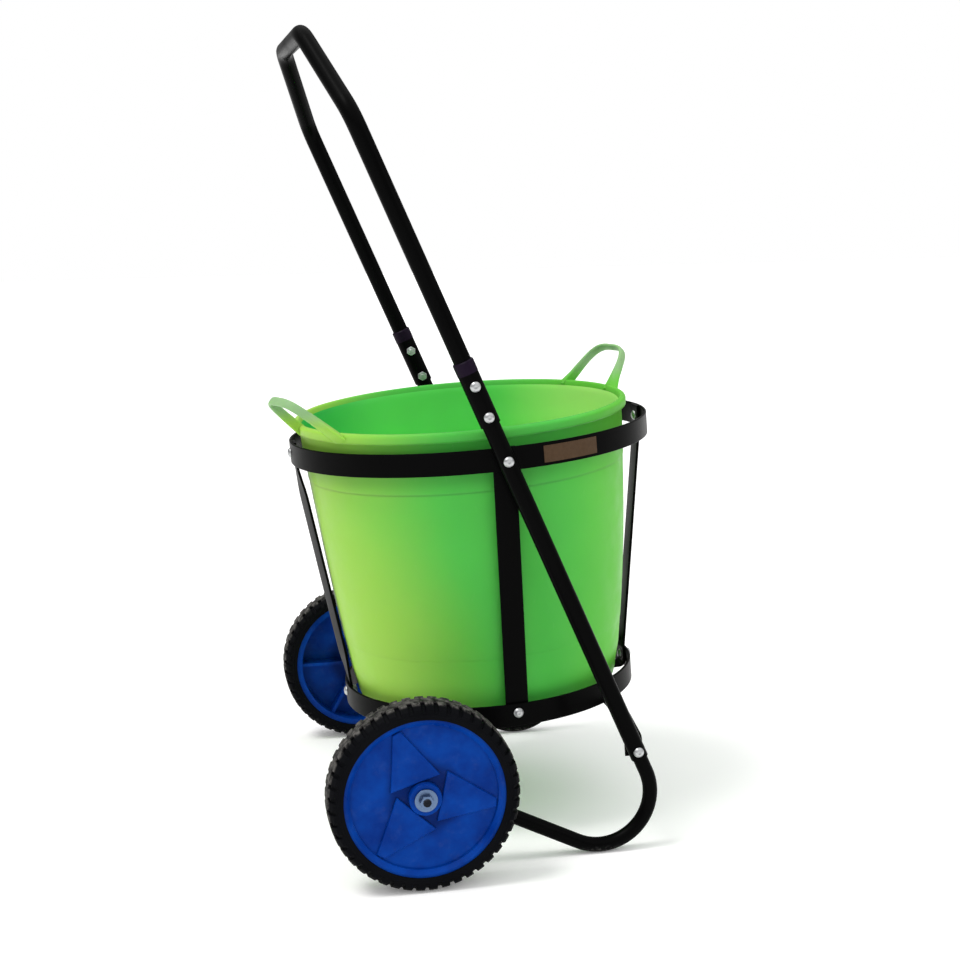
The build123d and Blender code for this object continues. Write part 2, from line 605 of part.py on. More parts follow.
hoop_fore = basket.from_local_coords(Vector(STRAP_TOP_R - BAND_T / 2, 0, BASKET_H))
hoop_aft = basket.from_local_coords(Vector(-HOOP_R, 0, BASKET_H))
ring_fore = basket.from_local_coords(Vector(STRAP_LOW_R - BAND_T / 2, 0, RING_BOLT_H))
ring_aft = basket.from_local_coords(Vector(-RING_R, 0, RING_BOLT_H))
ring_side = basket.from_local_coords(Vector(0, 0, RING_BOLT_H))
strip_grip = 2 * BAND_T + FLAT_IN_ROUND + NUT_H + BOLT_STANDOUT
with BuildPart() as basket_bolts:
    for seat in (hoop_fore, hoop_aft, ring_fore, ring_aft):
        bolt(*seat, -fore, strip_grip)
    for side in (-1, 1):
        bolt(ring_side.X, side * RING_R, ring_side.Z, (0, side, 0), strip_grip)
    base_under = basket.from_local_coords(Vector(0, 0, CROSS_BASE - BAND_T / 2))
    bolt(*base_under, -basket.z_dir, 2 * BAND_T)
save(basket_bolts.part, "basket_bolts")

with BuildPart() as joint_bolts:
    for side in (-1, 1):
        for joint_x, joint_z in (lower_joint, upper_joint):
            sleeve_y = side * (TUBE_Y + SLEEVE_OD / 2)
            bolt(joint_x, sleeve_y, joint_z, (0, side, 0), SLEEVE_OD + NUT_H + BOLT_STANDOUT)
save(joint_bolts.part, "joint_bolts")

with BuildPart() as knee_bolts:
    for side in (-1, 1):
        knee_seat_y = side * (TUBE_Y + MAIN_OD / 2)
        bolt(knee_x, knee_seat_y, knee_z, (0, side, 0), MAIN_OD + BAND_T + NUT_H + BOLT_STANDOUT)
save(knee_bolts.part, "knee_bolts")

with BuildPart() as nuts:
    hoop_fore_out = basket.from_local_coords(Vector(HOOP_R, 0, BASKET_H))
    hoop_aft_in = basket.from_local_coords(Vector(-STRAP_TOP_R + BAND_T / 2, 0, BASKET_H))
    ring_fore_out = basket.from_local_coords(Vector(RING_R, 0, RING_BOLT_H))
    ring_aft_in = basket.from_local_coords(Vector(-STRAP_LOW_R + BAND_T / 2, 0, RING_BOLT_H))
    for seat in (hoop_fore_out, hoop_aft_in, ring_fore_out, ring_aft_in):
        nut(*seat, fore)
    for side in (-1, 1):
        nut(HOOP_X, side * strap_inner_y, HOOP_Z, (0, -side, 0))
        nut(ring_side.X, side * (STRAP_LOW_R - BAND_T / 2), ring_side.Z, (0, -side, 0))
        nut(knee_x, side * (bar_end_y - BAND_T / 2), knee_z, (0, -side, 0))
        for joint_x, joint_z in (lower_joint, upper_joint):
            nut(joint_x, side * (TUBE_Y - SLEEVE_OD / 2), joint_z, (0, -side, 0))
save(nuts.part, "nuts")
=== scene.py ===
# Looks of the tub trolley: camera, light and floor first, then the materials, then the pieces that
# stand for plain CAD solids: the soft tub, the tyres, the bolts, nuts and washers, and one strap.
# All in metres.

import json
import math

import bmesh
import bpy
from mathutils import Matrix, Vector, noise


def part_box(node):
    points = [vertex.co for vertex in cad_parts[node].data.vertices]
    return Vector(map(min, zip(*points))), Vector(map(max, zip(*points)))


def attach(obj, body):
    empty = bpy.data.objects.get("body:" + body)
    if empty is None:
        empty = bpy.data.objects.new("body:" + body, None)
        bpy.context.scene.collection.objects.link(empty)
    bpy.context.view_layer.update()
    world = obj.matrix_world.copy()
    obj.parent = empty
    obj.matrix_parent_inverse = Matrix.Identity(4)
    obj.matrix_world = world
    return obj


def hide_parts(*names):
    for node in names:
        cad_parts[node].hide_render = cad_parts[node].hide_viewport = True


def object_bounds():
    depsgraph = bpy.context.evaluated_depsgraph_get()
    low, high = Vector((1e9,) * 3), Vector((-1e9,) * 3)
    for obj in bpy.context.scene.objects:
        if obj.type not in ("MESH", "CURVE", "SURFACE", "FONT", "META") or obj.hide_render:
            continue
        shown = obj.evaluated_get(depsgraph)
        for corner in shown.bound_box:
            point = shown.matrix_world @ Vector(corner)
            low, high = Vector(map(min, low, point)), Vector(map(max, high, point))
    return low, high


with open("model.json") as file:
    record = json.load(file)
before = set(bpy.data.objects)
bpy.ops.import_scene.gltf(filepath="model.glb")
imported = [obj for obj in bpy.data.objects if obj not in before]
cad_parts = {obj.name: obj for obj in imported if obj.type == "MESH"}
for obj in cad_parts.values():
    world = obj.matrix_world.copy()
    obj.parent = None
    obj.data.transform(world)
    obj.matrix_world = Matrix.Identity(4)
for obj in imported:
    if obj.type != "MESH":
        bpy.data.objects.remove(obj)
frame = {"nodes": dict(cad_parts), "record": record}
nodes = frame["nodes"]
record = frame["record"]
cad_low, cad_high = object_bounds()

# ---- camera, light and floor ----------------------------------------------------------------
CAMERA_AT = Vector((-0.3502, -1.9135, 0.7052))
CAMERA_YAW = 10.93        # degrees from +Y towards +X
CAMERA_PITCH = 9.52       # looking down
CAMERA_ROLL = -0.98
CAMERA_LENS = 63.67       # mm
CAMERA_SENSOR = 36        # mm, square

BACKDROP = 1.0            # what the camera sees behind the floor
ROOM_LIGHT = 0.325        # even light from all round
FLOOR_WHITE = 0.95
FLOOR_GLOW = 0.14


def aim(thing, at, towards):
    """Place a lamp and turn it towards a point."""
    thing.location = at
    thing.rotation_euler = (Vector(towards) - Vector(at)).to_track_quat("-Z", "Y").to_euler()


def make_camera():
    yaw, pitch, roll = (math.radians(a) for a in (CAMERA_YAW, CAMERA_PITCH, CAMERA_ROLL))
    forward = Vector((math.sin(yaw) * math.cos(pitch), math.cos(yaw) * math.cos(pitch), -math.sin(pitch)))
    level = Vector((math.cos(yaw), -math.sin(yaw), 0))
    upright = level.cross(forward)
    right = level * math.cos(roll) + upright * math.sin(roll)
    up = upright * math.cos(roll) - level * math.sin(roll)
    data = bpy.data.cameras.new("camera")
    data.lens = CAMERA_LENS
    data.sensor_width = CAMERA_SENSOR
    data.clip_end = 100
    camera = bpy.data.objects.new("camera", data)
    turn = Matrix((right, up, -forward)).transposed()
    camera.matrix_world = Matrix.Translation(CAMERA_AT) @ turn.to_4x4()
    bpy.context.scene.collection.objects.link(camera)
    bpy.context.scene.camera = camera


def make_lamp(name, comes_from, strength, spread, tint=(1, 1, 1)):
    """Distant soft lamp: where it comes from, how strong, and how wide it looks in degrees."""
    data = bpy.data.lights.new(name, "SUN")
    data.energy = strength
    data.angle = math.radians(spread)
    data.color = tint
    lamp = bpy.data.objects.new(name, data)
    bpy.context.scene.collection.objects.link(lamp)
    aim(lamp, comes_from, (0, 0, 0))


def make_room():
    """White backdrop for the camera, softer even light for everything else."""
    world = bpy.data.worlds.new("room")
    bpy.context.scene.world = world
    world.use_nodes = True
    tree = world.node_tree
    background = tree.nodes["Background"]
    background.inputs["Color"].default_value = (ROOM_LIGHT, ROOM_LIGHT, ROOM_LIGHT, 1)
    backdrop = tree.nodes.new("ShaderNodeBackground")
    backdrop.inputs["Color"].default_value = (BACKDROP, BACKDROP, BACKDROP, 1)
    rays = tree.nodes.new("ShaderNodeLightPath")
    choice = tree.nodes.new("ShaderNodeMixShader")
    tree.links.new(rays.outputs["Is Camera Ray"], choice.inputs[0])
    tree.links.new(background.outputs[0], choice.inputs[1])
    tree.links.new(backdrop.outputs[0], choice.inputs[2])
    tree.links.new(choice.outputs[0], tree.nodes["World Output"].inputs["Surface"])


make_camera()
make_room()
bpy.context.scene.view_settings.view_transform = "Standard"
make_lamp("key", (-1.1, -0.25, 2.3), 1.35, 20, (1, 0.99, 0.97))
make_lamp("overhead", (0.0, -0.3, 2.0), 1.9, 120)
make_lamp("side", (2.0, -1.0, 0.9), 0.2, 30, (0.97, 0.98, 1))


# ---- materials ------------------------------------------------------------------------------
class Surface:
    """A procedural material: its shader, and short ways to make the nodes that feed it."""

    def __init__(self, name, **settings):
        self.material = bpy.data.materials.new(name)
        self.material.use_nodes = True
        self.tree = self.material.node_tree
        self.shader = self.tree.nodes["Principled BSDF"]
        self.position = self.tree.nodes.new("ShaderNodeTexCoord").outputs["Object"]
        for words, value in settings.items():
            self.shader.inputs[words.replace("_", " ")].default_value = value

    def add(self, kind, **inputs):
        node = self.tree.nodes.new(kind)
        for words, value in inputs.items():
            self.feed(node.inputs[words.replace("_", " ")], value)
        return node

    def feed(self, socket, value):
        if isinstance(value, bpy.types.NodeSocket):
            self.tree.links.new(value, socket)
        else:
            socket.default_value = value

    def give(self, words, value):
        self.feed(self.shader.inputs[words], value)

    def axes(self):
        return self.add("ShaderNodeSeparateXYZ", Vector=self.position).outputs

    def stretched(self, scale):
        """Position scaled differently along X, Y and Z."""
        node = self.add("ShaderNodeMapping", Vector=self.position)
        node.inputs["Scale"].default_value = scale
        return node.outputs["Vector"]

    def grain(self, scale, detail=3.0, roughness=0.55, at=None):
        node = self.add("ShaderNodeTexNoise", Vector=at or self.position)
        node.inputs["Scale"].default_value = scale
        node.inputs["Detail"].default_value = detail
        node.inputs["Roughness"].default_value = roughness
        return node.outputs["Fac"]

    def span(self, value, low, high, out_low=0.0, out_high=1.0):
        """Rescale a value between two limits, smoothly, and clamp it."""
        node = self.add("ShaderNodeMapRange", Value=value)
        node.interpolation_type = "SMOOTHSTEP"
        limits = {"From Min": low, "From Max": high, "To Min": out_low, "To Max": out_high}
        for words, number in limits.items():
            node.inputs[words].default_value = number
        return node.outputs["Result"]

    def sum(self, operation, first, second=0.0):
        node = self.tree.nodes.new("ShaderNodeMath")
        node.operation = operation
        self.feed(node.inputs[0], first)
        self.feed(node.inputs[1], second)
        return node.outputs[0]

    def blend(self, factor, first, second):
        """Mix two colours."""
        node = self.tree.nodes.new("ShaderNodeMix")
        node.data_type = "RGBA"
        self.feed(node.inputs["Factor"], factor)
        self.feed(node.inputs["A"], (*first, 1) if isinstance(first, tuple) else first)
        self.feed(node.inputs["B"], (*second, 1) if isinstance(second, tuple) else second)
        return node.outputs["Result"]

    def bump(self, height, distance, strength=1.0, over=None):
        node = self.add("ShaderNodeBump", Height=height)
        node.inputs["Distance"].default_value = distance
        node.inputs["Strength"].default_value = strength
        if over is not None:
            self.tree.links.new(over, node.inputs["Normal"])
        return node.outputs["Normal"]


def powder_coat():
    """Gloss black powder coat: orange peel, handling dust, and scuffs near the floor."""
    s = Surface("black_powder_coat", IOR=1.09)
    haze = s.grain(9, 4)
    height = s.axes()["Z"]
    low = s.span(height, 0.010, 0.0, 0.0, 1.0)
    scratched = s.span(s.grain(420, 5, 0.7), 0.50, 0.62)
    scuff = s.sum("MULTIPLY", low, scratched)
    coat = s.blend(haze, (0.0010, 0.0010, 0.0011), (0.0026, 0.0026, 0.0026))
    s.give("Base Color", s.blend(scuff, coat, (0.10, 0.097, 0.092)))
    s.give("Roughness", s.sum("ADD", s.span(haze, 0.3, 0.7, 0.27, 0.38), s.sum("MULTIPLY", scuff, 0.3)))
    s.give("Normal", s.bump(s.grain(650, 2), 0.00012, 0.5))
    return s.material


def ferrule_plastic():
    """Moulded collar, dark with a purple cast."""
    s = Surface("dark_purple_plastic", IOR=1.14)
    s.give("Base Color", s.blend(s.grain(60, 4), (0.006, 0.003, 0.009), (0.014, 0.007, 0.020)))
    s.give("Roughness", s.span(s.grain(120, 3), 0.3, 0.7, 0.36, 0.5))
    s.give("Normal", s.bump(s.grain(1500, 2), 0.0001, 0.5))
    return s.material


def drawn_steel(end_y):
    """Axle stock: fine lines along its length, with painted shade making its ends dark."""
    s = Surface("drawn_steel", Metallic=1.0)
    lines = s.grain(900, 3, 0.6, s.stretched((1, 0.03, 1)))
    across = s.sum("ABSOLUTE", s.axes()["Y"])
    # painted shade: the axle ends inside the nuts are made nearly black
    shaded_end = s.span(across, end_y - 0.0012, end_y - 0.0006)
    bright = s.blend(lines, (0.33, 0.33, 0.34), (0.52, 0.52, 0.53))
    s.give("Base Color", s.blend(shaded_end, bright, (0.018, 0.020, 0.026)))
    s.give("Roughness", s.sum("ADD", s.span(lines, 0.3, 0.7, 0.24, 0.4), s.sum("MULTIPLY", shaded_end, 0.3)))
    s.give("Normal", s.bump(lines, 0.00008, 0.5))
    return s.material


def zinc_plate(name, dull, bright):
    """Zinc plate with a slight bloom, between a dull and a bright tone."""
    s = Surface(name, Metallic=1.0)
    bloom = s.grain(160, 5, 0.65)
    s.give("Base Color", s.blend(bloom, dull, bright))
    s.give("Roughness", s.span(bloom, 0.3, 0.7, 0.28, 0.46))
    s.give("Normal", s.bump(s.grain(1300, 3), 0.00008, 0.5))
    return s.material


def blank_label():
    """Plain reddish-brown sticker with a fine fibre grain."""
    s = Surface("blank_label", Specular_IOR_Level=0.15)
    fibre = s.grain(300, 5, 0.65)
    s.give("Base Color", s.blend(fibre, (0.048, 0.026, 0.012), (0.092, 0.052, 0.026)))
    s.give("Roughness", s.span(s.grain(90, 3), 0.3, 0.7, 0.45, 0.62))
    s.give("Normal", s.bump(fibre, 0.00006, 0.5))
    return s.material


def blue_plastic(axle_x, axle_z, face_y):
    """Glossy moulded blue with faint flow marks and dust, with painted shade darkening the recess round the
    hub.
    """
    s = Surface("blue_plastic", Specular_IOR_Level=0.05)
    flow = s.grain(22, 4, 0.6)
    dust = s.span(s.grain(75, 6, 0.7), 0.52, 0.75)
    blue = s.blend(s.span(flow, 0.3, 0.7), (0.0002, 0.026, 0.215), (0.0008, 0.052, 0.340))
    axes = s.axes()
    dx = s.sum("SUBTRACT", axes["X"], axle_x)
    dz = s.sum("SUBTRACT", axes["Z"], axle_z)
    out = s.sum("SQRT", s.sum("ADD", s.sum("MULTIPLY", dx, dx), s.sum("MULTIPLY", dz, dz)))
    # painted shade: the sunken face near the hub is made darker
    near_hub = s.span(out, 0.046, 0.030)
    sunk = s.span(s.sum("ABSOLUTE", axes["Y"]), face_y + 0.0022, face_y + 0.0004)
    blue = s.blend(s.sum("MULTIPLY", near_hub, s.sum("MULTIPLY", sunk, 0.75)), blue, (0.0003, 0.009, 0.085))
    s.give("Base Color", s.blend(s.sum("MULTIPLY", dust, 0.05), blue, (0.20, 0.24, 0.32)))
    s.give("Roughness", s.sum("ADD", s.span(flow, 0.3, 0.7, 0.26, 0.38), s.sum("MULTIPLY", dust, 0.12)))
    s.give("Normal", s.bump(s.grain(1000, 2), 0.00006, 0.4, s.bump(s.grain(35, 2), 0.0006, 0.25)))
    return s.material


def tyre_rubber(axle_x, axle_z, tread_r):
    """Black rubber: dust on the faces that touch the ground, a bloom on the sidewall."""
    s = Surface("tyre_rubber", IOR=1.08)
    axes = s.axes()
    dx = s.sum("SUBTRACT", axes["X"], axle_x)
    dz = s.sum("SUBTRACT", axes["Z"], axle_z)
    out = s.sum("SQRT", s.sum("ADD", s.sum("MULTIPLY", dx, dx), s.sum("MULTIPLY", dz, dz)))
    worn = s.span(out, tread_r - 0.0022, tread_r - 0.0002)
    dust = s.sum("MULTIPLY", worn, s.span(s.grain(140, 6, 0.7), 0.35, 0.72))
    bloom = s.grain(30, 5, 0.6)
    rubber = s.blend(bloom, (0.0020, 0.0023, 0.0030), (0.0060, 0.0062, 0.0075))
    s.give("Base Color", s.blend(s.sum("MULTIPLY", dust, 0.8), rubber, (0.190, 0.180, 0.170)))
    s.give("Roughness", s.span(s.sum("ADD", bloom, dust), 0.3, 1.3, 0.52, 0.85))
    s.give("Normal", s.bump(s.grain(1100, 4, 0.65), 0.00020, 0.6))
    return s.material


def tub_plastic(name, rear, middle, front, hoop_shade=0.0):
    """Soft green polyethylene with faint moulding waves, its tone going from the rear to the front, with
    painted light: the rear is lighter and yellower as if lit through the thin wall, further forward lower
    down. A darker band on the outside of the wall under the hoop is painted shade, fainter at the front."""
    s = Surface(name, Specular_IOR_Level=0.12)
    axes = s.axes()
    along = s.sum("DIVIDE", s.sum("SUBTRACT", axes["X"], TUB_MIDDLE.x), TUB_RIM_R)
    # painted light: the light rear tone spreads with the cloud and reaches further forward lower down
    low = s.span(axes["Z"], TUB_MIDDLE.z + 0.10, TUB_MIDDLE.z - 0.17)
    cloud = s.grain(5, 3)
    toward_lit_rear = s.sum("ADD", along, s.sum("MULTIPLY", cloud, 0.25))
    toward_lit_rear = s.sum("SUBTRACT", toward_lit_rear, s.sum("MULTIPLY", low, 0.38))
    to_front = s.sum("ADD", along, s.sum("MULTIPLY", cloud, 0.2))
    lighter = tuple(c * 1.12 for c in middle)
    green = s.blend(s.span(cloud, 0.3, 0.7), middle, lighter)
    green = s.blend(s.span(toward_lit_rear, -0.15, -0.95), green, rear)
    green = s.blend(s.span(to_front, 0.30, 1.0), green, front)
    height = s.sum("ADD", s.sum("MULTIPLY", axes["Z"], tub_up.z), s.sum("MULTIPLY", axes["X"], tub_up.x))
    height = s.sum("SUBTRACT", height, tub_base.dot(tub_up))
    # painted shade: a darker band on the wall just under the hoop, fainter towards the front
    starts, full, fades, ends = HOOP_SHADE_BAND
    hoop_shade_mask = s.sum("MULTIPLY", s.span(height, starts, full), s.span(height, ends, fades))
    hoop_shade_mask = s.sum("MULTIPLY", hoop_shade_mask, s.span(along, 0.5, -0.2, hoop_shade * 0.45, hoop_shade))
    green = s.blend(hoop_shade_mask, green, (0.022, 0.150, 0.018))
    green = s.blend(s.span(height, TUB_HEIGHT + 0.001, TUB_HEIGHT + 0.024), green, GRIP_TONE)
    scuff = s.span(s.grain(240, 6, 0.75, s.stretched((1, 1, 0.25))), 0.60, 0.78)
    s.give("Base Color", s.blend(s.sum("MULTIPLY", scuff, 0.10), green, (0.42, 0.62, 0.34)))
    s.give("Roughness", s.span(s.grain(38, 4), 0.3, 0.7, 0.36, 0.50))
    waves = s.bump(s.grain(14, 2, 0.5, s.stretched((1, 1, 2.2))), 0.0022, 0.30)
    s.give("Normal", s.bump(s.grain(900, 3), 0.00010, 0.45, waves))
    s.shader.inputs["Subsurface Weight"].default_value = 0.35
    s.shader.inputs["Subsurface Radius"].default_value = (0.55, 1.0, 0.25)
    s.shader.inputs["Subsurface Scale"].default_value = 0.006
    return s.material


def floor_paint():
    """Pale seamless floor, lit a little from beneath like a light table, so its shadows stay soft."""
    s = Surface("pale_floor", Specular_IOR_Level=0.0, Emission_Strength=FLOOR_GLOW)
    tone = s.grain(1.2, 3)
    low = FLOOR_WHITE - 0.01
    s.give("Base Color", s.blend(tone, (low, low, low), (FLOOR_WHITE, FLOOR_WHITE, FLOOR_WHITE)))
    s.give("Roughness", s.span(tone, 0.3, 0.7, 0.85, 0.95))
    s.give("Normal", s.bump(s.grain(500, 3), 0.0001, 0.2))
    return s.material


# ---- mesh helpers ---------------------------------------------------------------------------
def new_piece(name, points, faces, material, smooth_angle=35):
    mesh = bpy.data.meshes.new(name)
    mesh.from_pydata([tuple(p) for p in points], [], faces)
    mesh.update()
    for polygon in mesh.polygons:
        polygon.use_smooth = True
    mesh.set_sharp_from_angle(angle=math.radians(smooth_angle))
    mesh.materials.append(material)
    piece = bpy.data.objects.new(name, mesh)
    bpy.context.scene.collection.objects.link(piece)
    return piece


def rounded(corners, steps=4, longest=None):
    """Line through corners given as (x, y, cut): each is rounded, starting that far before it."""
    line = [Vector(corners[0][:2])]
    for before, here, after in zip(corners, corners[1:], corners[2:]):
        middle = Vector(here[:2])
        start = middle + (Vector(before[:2]) - middle).normalized() * here[2]
        end = middle + (Vector(after[:2]) - middle).normalized() * here[2]
        for step in range(steps + 1 if here[2] else 1):
            t = step / steps
            line.append(start * (1 - t) ** 2 + middle * 2 * t * (1 - t) + end * t * t)
    line.append(Vector(corners[-1][:2]))
    if longest is None:
        return line
    filled = line[:1]
    for end in line[1:]:
        start = filled[-1]
        count = max(1, math.ceil((end - start).length / longest))
        filled += [start.lerp(end, (i + 1) / count) for i in range(count)]
    return filled


def turned(profile, turns, place, closed):
    """Points and faces of a profile turned about an axis. place(profile point, turn) gives the position."""
    rings = [[place(p, turn) for turn in turns] for p in profile]
    points, index = [], []
    for p, ring in zip(profile, rings):
        if p.x < 1e-7:
            index.append([len(points)] * len(turns))
            points.append(ring[0])
        else:
            index.append(list(range(len(points), len(points) + len(turns))))
            points += ring
    pairs = list(zip(index, index[1:] + index[:1])) if closed else list(zip(index, index[1:]))
    faces = []
    for lower, upper in pairs:
        for i in range(len(turns)):
            j = (i + 1) % len(turns)
            face = [lower[i], lower[j], upper[j], upper[i]]
            faces.append([v for k, v in enumerate(face) if v != face[k - 1]])
    return points, faces


def even_turns(count):
    return [2 * math.pi * i / count for i in range(count)]


class Heap:
    """Gathers several solids into the points and faces of one mesh."""

    def __init__(self):
        self.points, self.faces = [], []

    def add(self, points, faces):
        base = len(self.points)
        self.points += points
        self.faces += [[base + v for v in face] for face in faces]


# ---- tub ------------------------------------------------------------------------------------
TUB_RIM_R = 0.193
TUB_NECK_R = 0.187        # outside of the wall just under the lip
TUB_HEEL_R = 0.1595       # the wall leans out more quickly up to here
TUB_HEEL_H = 0.040
TUB_BASE_R = 0.150
TUB_BELLY = 0.0030        # the soft wall swells this much at mid height
TUB_HEIGHT = 0.331
TUB_NECK_H = 0.320
TUB_WALL = 0.003
TUB_FLOOR_T = 0.004
TUB_STEPS = (0.071, 0.263)  # heights of the two faint moulding steps
TUB_STEP = 0.0006
RIM_LEAN = 0.0030         # the rim droops this much on the right and rises as much on the left
RIM_OVAL = 0.0016         # and is this much longer across than fore and aft
RIM_SHIFT = -0.0060       # the rim leans this far to the rear
RIPPLE = 0.0006           # slow unevenness of the soft wall
# tones from the rear to the middle and the front; the light, yellow rear tone is painted light, as if lit
# through the thin wall
WALL_TONES_AND_LIGHT = (0.340, 0.610, 0.078), (0.076, 0.470, 0.066), (0.125, 0.500, 0.042)
# heights where the painted shade band under the hoop starts, is full, fades and ends
HOOP_SHADE_BAND = (0.258, 0.279, 0.300, 0.312)
HOOP_SHADE_STRENGTH = 0.36
# inside tones from the rear to the front: the dark rear is painted shade, the bright front painted light on
# the inside wall
INSIDE_TONES_AND_LIGHT = (0.035, 0.500, 0.095), (0.125, 0.690, 0.125), (0.540, 0.950, 0.240)
GRIP_TONE = (0.270, 0.460, 0.215)   # the thin loop handles, paler than the wall

GRIP_TURN = 22.0
GRIP_HALF = 0.043
GRIP_REACH = 0.060
GRIP_RISE = 44.0
GRIP_THICK = 0.0025       # half thickness in the plane of the loop
GRIP_WIDE = 0.0052        # half width across it
GRIP_WEB = 0.014          # how far the web at each foot reaches into the loop's outside
GRIP_WEB_TOP = 0.040      # and how high up the loop it ends
GRIP_SQUARE = 0.8         # below 1 the section is squarer than an ellipse

floor_mount = record["mounts"][0]
tub_up = Vector(floor_mount["axis"]).normalized()
tub_fore = Vector((tub_up.z, 0, -tub_up.x))
tub_base = Vector(floor_mount["pos_m"]) - tub_up * TUB_FLOOR_T
TUB_MIDDLE = tub_base + tub_up * TUB_HEIGHT / 2


def in_tub(x, y, z):
    """World position of a point of the tub, with the soft tub's slight give."""
    h = max(0.0, z / TUB_HEIGHT) ** 2
    turn = math.atan2(y, x)
    reach = math.hypot(x, y)
    grow = -h * RIM_OVAL * math.cos(2 * turn)
    if reach > 0.05:
        grow += RIPPLE * h ** 0.5 * noise.noise(Vector((3 * math.cos(turn), 3 * math.sin(turn), 9 * z)))
        x, y = x * (1 + grow / reach), y * (1 + grow / reach)
    z += h * RIM_LEAN * y / TUB_RIM_R
    return tub_base + tub_fore * (x + h * RIM_SHIFT) + Vector((0, y, 0)) + tub_up * z


def tub_wall_r(z):
    """Outside radius of the wall at a height, without its steps."""
    if z < TUB_HEEL_H:
        return TUB_BASE_R + (TUB_HEEL_R - TUB_BASE_R) * z / TUB_HEEL_H
    up = (z - TUB_HEEL_H) / (TUB_NECK_H - TUB_HEEL_H)
    return TUB_HEEL_R + (TUB_NECK_R - TUB_HEEL_R) * up + TUB_BELLY * math.sin(math.pi * min(1, up))


def tub_profile():
    """Half section of the tub in two lines: under the floor and up over the lip, then down the inside."""
    outside = [(0, 0.0016, 0), (0.124, 0.0016, 0.002), (0.128, 0, 0.002), (TUB_BASE_R, 0, 0.0095)]
    levels = [TUB_HEEL_H * 0.5] + [TUB_HEEL_H + 0.02 * i for i in range(14)]
    depth = 2 * TUB_STEP
    for level in sorted(levels + list(TUB_STEPS)):
        if level in TUB_STEPS:
            outside.append((tub_wall_r(level) - depth, level - 0.001, 0.0008))
            depth -= TUB_STEP
            outside.append((tub_wall_r(level) - depth, level + 0.001, 0.0008))
        else:
            outside.append((tub_wall_r(level) - depth, level, 0.003))
    lip = [
        (TUB_NECK_R - 0.0005, TUB_NECK_H - 0.001, 0.002),
        (TUB_RIM_R - 0.001, TUB_NECK_H - 0.0005, 0.002),
        (TUB_RIM_R, TUB_HEIGHT - 0.001, 0.0040),
        (TUB_NECK_R, TUB_HEIGHT + 0.0005, 0.0025),
        (TUB_NECK_R - TUB_WALL, TUB_HEIGHT - 0.006, 0.003),
    ]
    inside = [lip[-1]]
    inside += [(tub_wall_r(level) - TUB_WALL, level, 0.003) for level in reversed(levels[1:])]
    inside += [(TUB_BASE_R - TUB_WALL, TUB_FLOOR_T, 0.008), (0, TUB_FLOOR_T, 0)]
    return rounded(outside + lip, 4, 0.009), rounded(inside, 4, 0.009)


def grip_arch(t):
    """Point of a loop handle's centre line, across and up its own plane, for t from -1 to 1."""
    side = 1 if t > 0 else -1
    a = abs(t)
    across = (0, 0.028, 0.036, GRIP_HALF)
    up = (GRIP_REACH, GRIP_REACH + 0.002, GRIP_REACH - 0.008, -0.004)
    spread = (1 - a) ** 3, 3 * a * (1 - a) ** 2, 3 * a * a * (1 - a), a ** 3
    return side * sum(w * c for w, c in zip(spread, across)), sum(w * c for w, c in zip(spread, up))


def grip_mesh(turn, heap, rings=72, around=20):
    """Loop handle: a flattened strap that widens into a web at each foot and sinks into the lip."""
    turn, rise = math.radians(turn), math.radians(GRIP_RISE)
    outwards = Vector((math.cos(turn), math.sin(turn), 0))
    sideways = Vector((-math.sin(turn), math.cos(turn), 0))
    climb = outwards * math.cos(rise) + Vector((0, 0, math.sin(rise)))
    across = sideways.cross(climb)
    lip_r = (TUB_RIM_R + TUB_NECK_R) / 2
    foot = outwards * math.sqrt(lip_r ** 2 - GRIP_HALF ** 2) + Vector((0, 0, TUB_HEIGHT - 0.005))
    points = []
    for i in range(rings):
        t = -1 + 2 * i / (rings - 1)
        here = Vector(grip_arch(t))
        ahead = (Vector(grip_arch(t + 0.01)) - Vector(grip_arch(t - 0.01))).normalized()
        outer = Vector((-ahead.y, ahead.x))
        low = max(0.0, 1 - here.y / GRIP_WEB_TOP)
        web = GRIP_WEB * low ** 1.3
        wide = GRIP_WIDE + 0.001 * low
        for k in range(around):
            a = 2 * math.pi * k / around
            c, s = math.cos(a), math.sin(a)
            c, s = (math.copysign(abs(v) ** GRIP_SQUARE, v) for v in (c, s))
            out = c * GRIP_THICK + (c * web if c > 0 else 0)
            thin = 1 - 0.62 * min(1, web / 0.008) * max(0.0, c)
            plane = here + outer * out
            p = foot + sideways * plane.x + climb * plane.y + across * (s * wide * thin)
            points.append(in_tub(*p))
    faces = [list(range(around))[::-1], list(range((rings - 1) * around, rings * around))]
    for i in range(rings - 1):
        for k in range(around):
            m = (k + 1) % around
            faces.append([i * around + k, i * around + m, (i + 1) * around + m, (i + 1) * around + k])
    heap.add(points, faces)


def make_tub():
    outside, inside = tub_profile()
    turns = even_turns(180)

    def place(p, turn):
        return in_tub(p.x * math.cos(turn), p.x * math.sin(turn), p.y)

    heap = Heap()
    heap.add(*turned(outside + inside[1:], turns, place, closed=False))
    first_inside = (len(outside) - 1) * len(turns)
    first_grip = len(heap.faces)
    grip_mesh(GRIP_TURN, heap)
    grip_mesh(GRIP_TURN + 180, heap)
    outer_green = tub_plastic("soft_green_plastic", *WALL_TONES_AND_LIGHT, HOOP_SHADE_STRENGTH)
    tub = new_piece("soft_tub", heap.points, heap.faces, outer_green, 60)
    tub.data.materials.append(tub_plastic("soft_green_inside", *INSIDE_TONES_AND_LIGHT))
    for polygon in tub.data.polygons:
        polygon.material_index = 1 if first_inside <= polygon.index < first_grip else 0
    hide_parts("tub")
    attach(tub, "tub")


make_tub()

